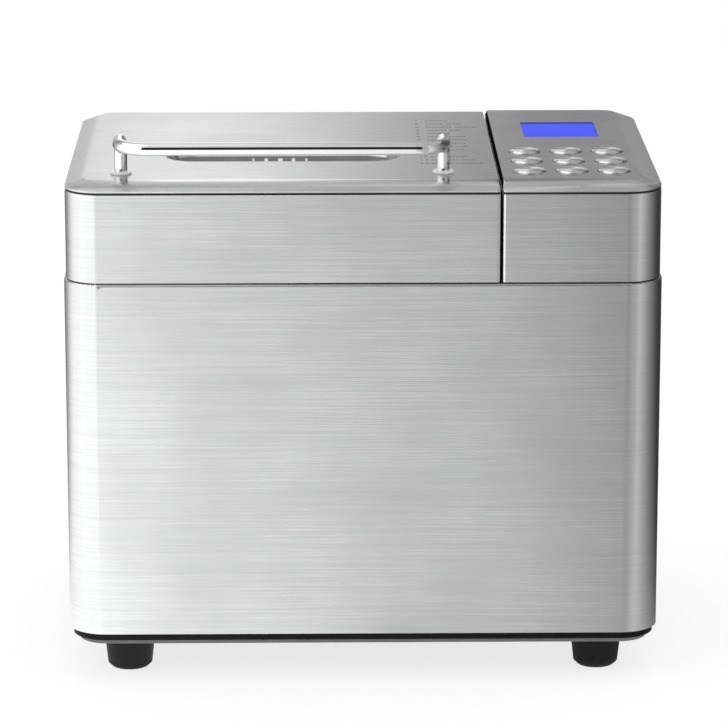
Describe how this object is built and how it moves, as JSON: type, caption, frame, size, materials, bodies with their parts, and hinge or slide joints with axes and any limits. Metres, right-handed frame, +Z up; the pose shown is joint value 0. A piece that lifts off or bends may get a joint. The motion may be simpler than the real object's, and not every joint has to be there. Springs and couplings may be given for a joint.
{
  "type": "bread machine",
  "caption": "Stainless steel bread machine with a hinged lid and bar handle, side control head with display and round buttons, bread pan, kneading paddle and belt drive.",
  "frame": {"origin": "on the floor under the middle of the machine", "axes": "+Z up, -Y towards the user at the front, +X to the user's right"},
  "size_m": [0.37, 0.276, 0.3445],
  "materials": {
    "outer_shell": "satin brushed stainless steel",
    "base_tray": "black moulded plastic",
    "bottom_plate": "grey galvanised sheet",
    "foot_front_left": "black rubber",
    "foot_front_right": "black rubber",
    "foot_rear_left": "black rubber",
    "foot_rear_right": "black rubber",
    "foot_screws": "zinc plated steel",
    "top_deck": "black moulded plastic",
    "cord_gland": "black moulded plastic",
    "hinge_brackets": "black moulded plastic",
    "hinge_pins": "ground steel",
    "control_band": "satin brushed stainless steel",
    "control_cap": "satin brushed stainless steel",
    "control_frame": "black moulded plastic",
    "control_board": "green circuit board",
    "lcd_lens": "clear window over a blue backlit display",
    "chamber_liner": "aluminised steel sheet",
    "heating_element": "oxidised steel tube",
    "heater_brackets": "spring steel",
    "temperature_sensor": "steel probe",
    "pan_clips": "spring steel",
    "bearing_housing": "die cast aluminium",
    "bearing_bushes": "sintered bronze",
    "drive_belt": "ribbed rubber",
    "motor_bracket": "galvanised sheet",
    "motor_housing": "pressed steel motor case",
    "power_board": "brown circuit board",
    "lid_band": "satin brushed stainless steel",
    "lid_cap": "satin brushed stainless steel",
    "lid_liner": "black moulded plastic",
    "lid_gasket": "grey silicone",
    "lid_reflector": "aluminised steel sheet",
    "window_frame": "polished frame",
    "window_glass": "tinted toughened glass",
    "inner_window": "clear toughened glass",
    "lid_handle": "polished chrome tube",
    "handle_collars": "milky nylon",
    "handle_screws": "zinc plated steel",
    "bread_pan": "dark non-stick coated aluminium",
    "pan_base": "cast aluminium",
    "pan_bearing": "turned steel",
    "pan_bail": "steel wire",
    "pan_shaft": "ground stainless steel",
    "pan_coupler": "die cast",
    "kneading_paddle": "dark non-stick coated aluminium",
    "drive_shaft": "ground steel",
    "drive_pulley": "die cast aluminium",
    "drive_dog": "die cast",
    "motor_shaft": "ground steel",
    "motor_pulley": "moulded plastic",
    "button_front_left": "spun metal button cap",
    "button_front_centre": "spun metal button cap",
    "button_front_right": "spun metal button cap",
    "button_middle_left": "spun metal button cap",
    "button_middle_centre": "spun metal button cap",
    "button_middle_right": "spun metal button cap",
    "button_back_left": "spun metal button cap",
    "button_back_centre": "spun metal button cap",
    "button_back_right": "spun metal button cap"
  },
  "bodies": {
    "base": {"outer_shell": "outer_shell", "base_tray": "base_tray", "bottom_plate": "bottom_plate", "foot_front_left": "foot_front_left", "foot_front_right": "foot_front_right", "foot_rear_left": "foot_rear_left", "foot_rear_right": "foot_rear_right", "foot_screws": "foot_screws", "top_deck": "top_deck", "cord_gland": "cord_gland", "hinge_brackets": "hinge_brackets", "hinge_pins": "hinge_pins", "control_band": "control_band", "control_cap": "control_cap", "control_frame": "control_frame", "control_board": "control_board", "lcd_lens": "lcd_lens", "chamber_liner": "chamber_liner", "heating_element": "heating_element", "heater_brackets": "heater_brackets", "temperature_sensor": "temperature_sensor", "pan_clips": "pan_clips", "bearing_housing": "bearing_housing", "bearing_bushes": "bearing_bushes", "drive_belt": "drive_belt", "motor_bracket": "motor_bracket", "motor_housing": "motor_housing", "power_board": "power_board"},
    "lid": {"lid_band": "lid_band", "lid_cap": "lid_cap", "lid_liner": "lid_liner", "lid_gasket": "lid_gasket", "lid_reflector": "lid_reflector", "window_frame": "window_frame", "window_glass": "window_glass", "inner_window": "inner_window", "lid_handle": "lid_handle", "handle_collars": "handle_collars", "handle_screws": "handle_screws"},
    "pan": {"bread_pan": "bread_pan", "pan_base": "pan_base", "pan_bearing": "pan_bearing"},
    "bail": {"pan_bail": "pan_bail"},
    "paddle": {"pan_shaft": "pan_shaft", "pan_coupler": "pan_coupler", "kneading_paddle": "kneading_paddle"},
    "drive": {"drive_shaft": "drive_shaft", "drive_pulley": "drive_pulley", "drive_dog": "drive_dog"},
    "motor_rotor": {"motor_shaft": "motor_shaft", "motor_pulley": "motor_pulley"},
    "button_front_left_body": {"button_front_left": "button_front_left"},
    "button_front_centre_body": {"button_front_centre": "button_front_centre"},
    "button_front_right_body": {"button_front_right": "button_front_right"},
    "button_middle_left_body": {"button_middle_left": "button_middle_left"},
    "button_middle_centre_body": {"button_middle_centre": "button_middle_centre"},
    "button_middle_right_body": {"button_middle_right": "button_middle_right"},
    "button_back_left_body": {"button_back_left": "button_back_left"},
    "button_back_centre_body": {"button_back_centre": "button_back_centre"},
    "button_back_right_body": {"button_back_right": "button_back_right"}
  },
  "joints": [
    {"name": "lid_hinge", "type": "hinge", "parent": "base", "child": "lid", "pos_m": [-0.04995, 0.11425, 0.2679], "axis": [-1, 0, 0], "range_deg": [0, 86]},
    {"name": "pan_lift", "type": "slide", "parent": "base", "child": "pan", "axis": [0, 0, 1], "range_m": [0, 0.055]},
    {"name": "bail_swing", "type": "hinge", "parent": "pan", "child": "bail", "pos_m": [-0.04995, 0, 0.221], "axis": [1, 0, 0], "range_deg": [0, 161.01]},
    {"name": "drive_spin", "type": "hinge", "parent": "base", "child": "drive", "pos_m": [-0.04995, 0, 0.0434], "axis": [0, 0, 1], "continuous": true},
    {"name": "paddle_spin", "type": "hinge", "parent": "pan", "child": "paddle", "pos_m": [-0.04995, 0, 0.11], "axis": [0, 0, 1], "continuous": true},
    {"name": "motor_spin", "type": "hinge", "parent": "base", "child": "motor_rotor", "pos_m": [0.13245, 0, 0.0434], "axis": [0, 0, 1], "continuous": true},
    {"name": "button_front_left_press", "type": "slide", "parent": "base", "child": "button_front_left_body", "axis": [0, 0, -1], "range_m": [0, 0.0012], "stiffness_N_per_m": 400, "springref_m": -0.001},
    {"name": "button_front_centre_press", "type": "slide", "parent": "base", "child": "button_front_centre_body", "axis": [0, 0, -1], "range_m": [0, 0.0012], "stiffness_N_per_m": 400, "springref_m": -0.001},
    {"name": "button_front_right_press", "type": "slide", "parent": "base", "child": "button_front_right_body", "axis": [0, 0, -1], "range_m": [0, 0.0012], "stiffness_N_per_m": 400, "springref_m": -0.001},
    {"name": "button_middle_left_press", "type": "slide", "parent": "base", "child": "button_middle_left_body", "axis": [0, 0, -1], "range_m": [0, 0.0012], "stiffness_N_per_m": 400, "springref_m": -0.001},
    {"name": "button_middle_centre_press", "type": "slide", "parent": "base", "child": "button_middle_centre_body", "axis": [0, 0, -1], "range_m": [0, 0.0012], "stiffness_N_per_m": 400, "springref_m": -0.001},
    {"name": "button_middle_right_press", "type": "slide", "parent": "base", "child": "button_middle_right_body", "axis": [0, 0, -1], "range_m": [0, 0.0012], "stiffness_N_per_m": 400, "springref_m": -0.001},
    {"name": "button_back_left_press", "type": "slide", "parent": "base", "child": "button_back_left_body", "axis": [0, 0, -1], "range_m": [0, 0.0012], "stiffness_N_per_m": 400, "springref_m": -0.001},
    {"name": "button_back_centre_press", "type": "slide", "parent": "base", "child": "button_back_centre_body", "axis": [0, 0, -1], "range_m": [0, 0.0012], "stiffness_N_per_m": 400, "springref_m": -0.001},
    {"name": "button_back_right_press", "type": "slide", "parent": "base", "child": "button_back_right_body", "axis": [0, 0, -1], "range_m": [0, 0.0012], "stiffness_N_per_m": 400, "springref_m": -0.001}
  ],
  "couplings": [
    {"joint": "paddle_spin", "follows": "drive_spin", "ratio": 1},
    {"joint": "motor_spin", "follows": "drive_spin", "ratio": 5.5556}
  ]
}
